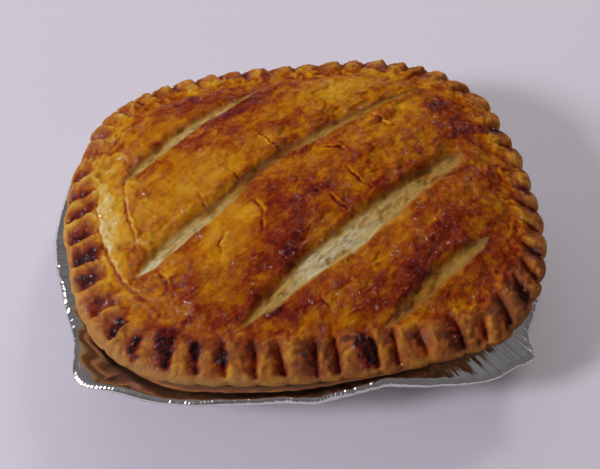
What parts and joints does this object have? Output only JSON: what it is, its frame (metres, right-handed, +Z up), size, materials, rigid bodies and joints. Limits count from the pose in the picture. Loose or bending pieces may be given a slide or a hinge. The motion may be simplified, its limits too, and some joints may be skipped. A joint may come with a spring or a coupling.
{
  "type": "steak pie",
  "caption": "Oblong family steak pie with a domed, glazed pastry lid, crimped round the edge and slashed on the slant, in its shallow pleated foil tray.",
  "frame": {"origin": "on the table, under the middle of the pie and its tray", "axes": "+X along the pie's long way, +Y from its front to its back, +Z up"},
  "size_m": [0.1964, 0.1584, 0.0598],
  "materials": {
    "foil": "thin bright pressed foil, pleated and creased",
    "base_pastry": "dull baked pastry",
    "glazed_pastry": "egg-washed baked pastry, golden to dark brown, glossy"
  },
  "bodies": {
    "root": {"foil_tray": "foil", "pastry_base": "base_pastry", "pastry_lid": "glazed_pastry"}
  },
  "joints": []
}
